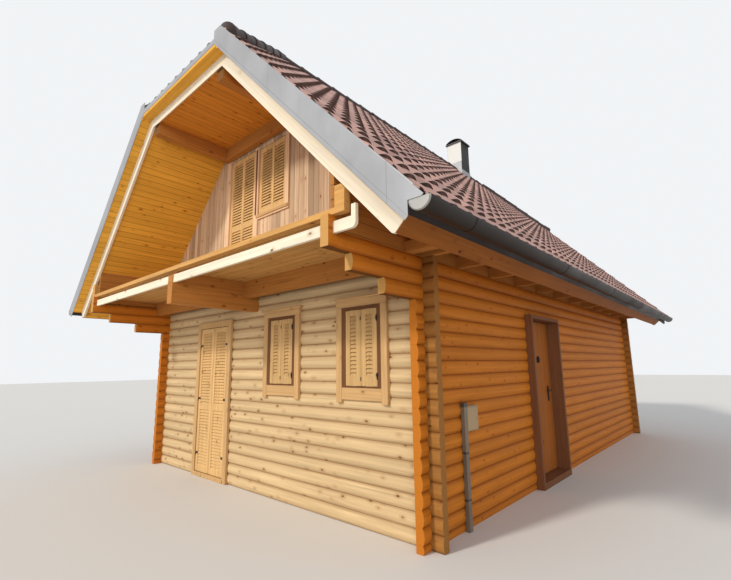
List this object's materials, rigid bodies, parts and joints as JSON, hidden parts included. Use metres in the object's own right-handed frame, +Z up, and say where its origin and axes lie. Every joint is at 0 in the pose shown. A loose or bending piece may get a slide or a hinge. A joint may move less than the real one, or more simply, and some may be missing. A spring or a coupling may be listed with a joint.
{
  "type": "log cabin",
  "caption": "Log cabin with a steep half-hipped tiled roof over a deep front balcony, louvred front doors and windows and a side door in a box frame.",
  "frame": {"origin": "ground level at the middle of the log walls' footprint", "axes": "+X right along the front wall, +Y from the front wall to the rear wall, +Z up"},
  "size_m": [7.57, 10.255, 7.36],
  "materials": {
    "logs": "varnished spruce logs",
    "beams": "varnished sawn beams",
    "boards": "varnished boards",
    "pale_boards": "pale varnished boards",
    "trim": "reddish beige window and door trim",
    "shutters": "pale louvred leaves",
    "floor": "boarded floor",
    "tiles": "matt red brown roof tiles",
    "ridge": "matt dark red ridge tiles",
    "flashing": "light grey sheet metal",
    "gutter": "dark brown gutter",
    "render": "pale rendered masonry",
    "cap": "grey sheet metal and boxes",
    "door": "brown stained door and reveal",
    "handle": "dark metal handle"
  },
  "bodies": {
    "house": {"balcony_beam": "beams", "balcony_bearer": "beams", "balcony_ceiling": "boards", "balcony_deck": "boards", "balcony_door_leaf": "shutters", "balcony_purlins": "beams", "balcony_rim_board": "pale_boards", "balcony_window_shutter": "shutters", "barge_boards": "pale_boards", "chimney_cap": "cap", "chimney_stack": "render", "conduit_cover": "cap", "corbel_logs": "logs", "corner_log_ends": "logs", "eave_panels": "boards", "floor_joists": "beams", "front_door_frame": "trim", "front_door_hinges": "handle", "front_gable_wall": "boards", "front_wall_left": "logs", "front_wall_over_door": "logs", "front_wall_right": "logs", "gable_casings": "trim", "gable_header": "beams", "ground_floor": "floor", "gutter_brackets": "gutter", "gutters": "gutter", "left_wall": "logs", "meter_box": "cap", "rear_gable_wall": "boards", "rear_wall": "logs", "ridge_tiles": "ridge", "right_wall_front": "logs", "right_wall_over_door": "logs", "right_wall_rear": "logs", "roof_slab_hips": "boards", "roof_slab_left": "boards", "roof_slab_right": "boards", "roof_tiles_hips": "tiles", "roof_tiles_left": "tiles", "roof_tiles_right": "tiles", "shutter_hinges": "handle", "side_door_frame": "door", "side_door_hinges": "handle", "upper_floor": "boards", "verge_flashing": "flashing", "window_casings": "trim", "window_shutters": "shutters"},
    "front_door_left": {"front_door_leaf_left": "shutters"},
    "front_door_right": {"front_door_leaf_right": "shutters"},
    "side_door": {"side_door_leaf": "door", "side_door_handle": "handle"}
  },
  "joints": [
    {"name": "front_door_left_hinge", "type": "hinge", "parent": "house", "child": "front_door_left", "pos_m": [-1.462, -4.272, 0.07], "axis": [0, 0, -1], "range_deg": [0, 90]},
    {"name": "front_door_right_hinge", "type": "hinge", "parent": "house", "child": "front_door_right", "pos_m": [-0.668, -4.272, 0.07], "axis": [0, 0, 1], "range_deg": [0, 90]},
    {"name": "side_door_hinge", "type": "hinge", "parent": "house", "child": "side_door", "pos_m": [2.68, -1.742, 0.088], "axis": [0, 0, 1], "range_deg": [0, 90]}
  ]
}
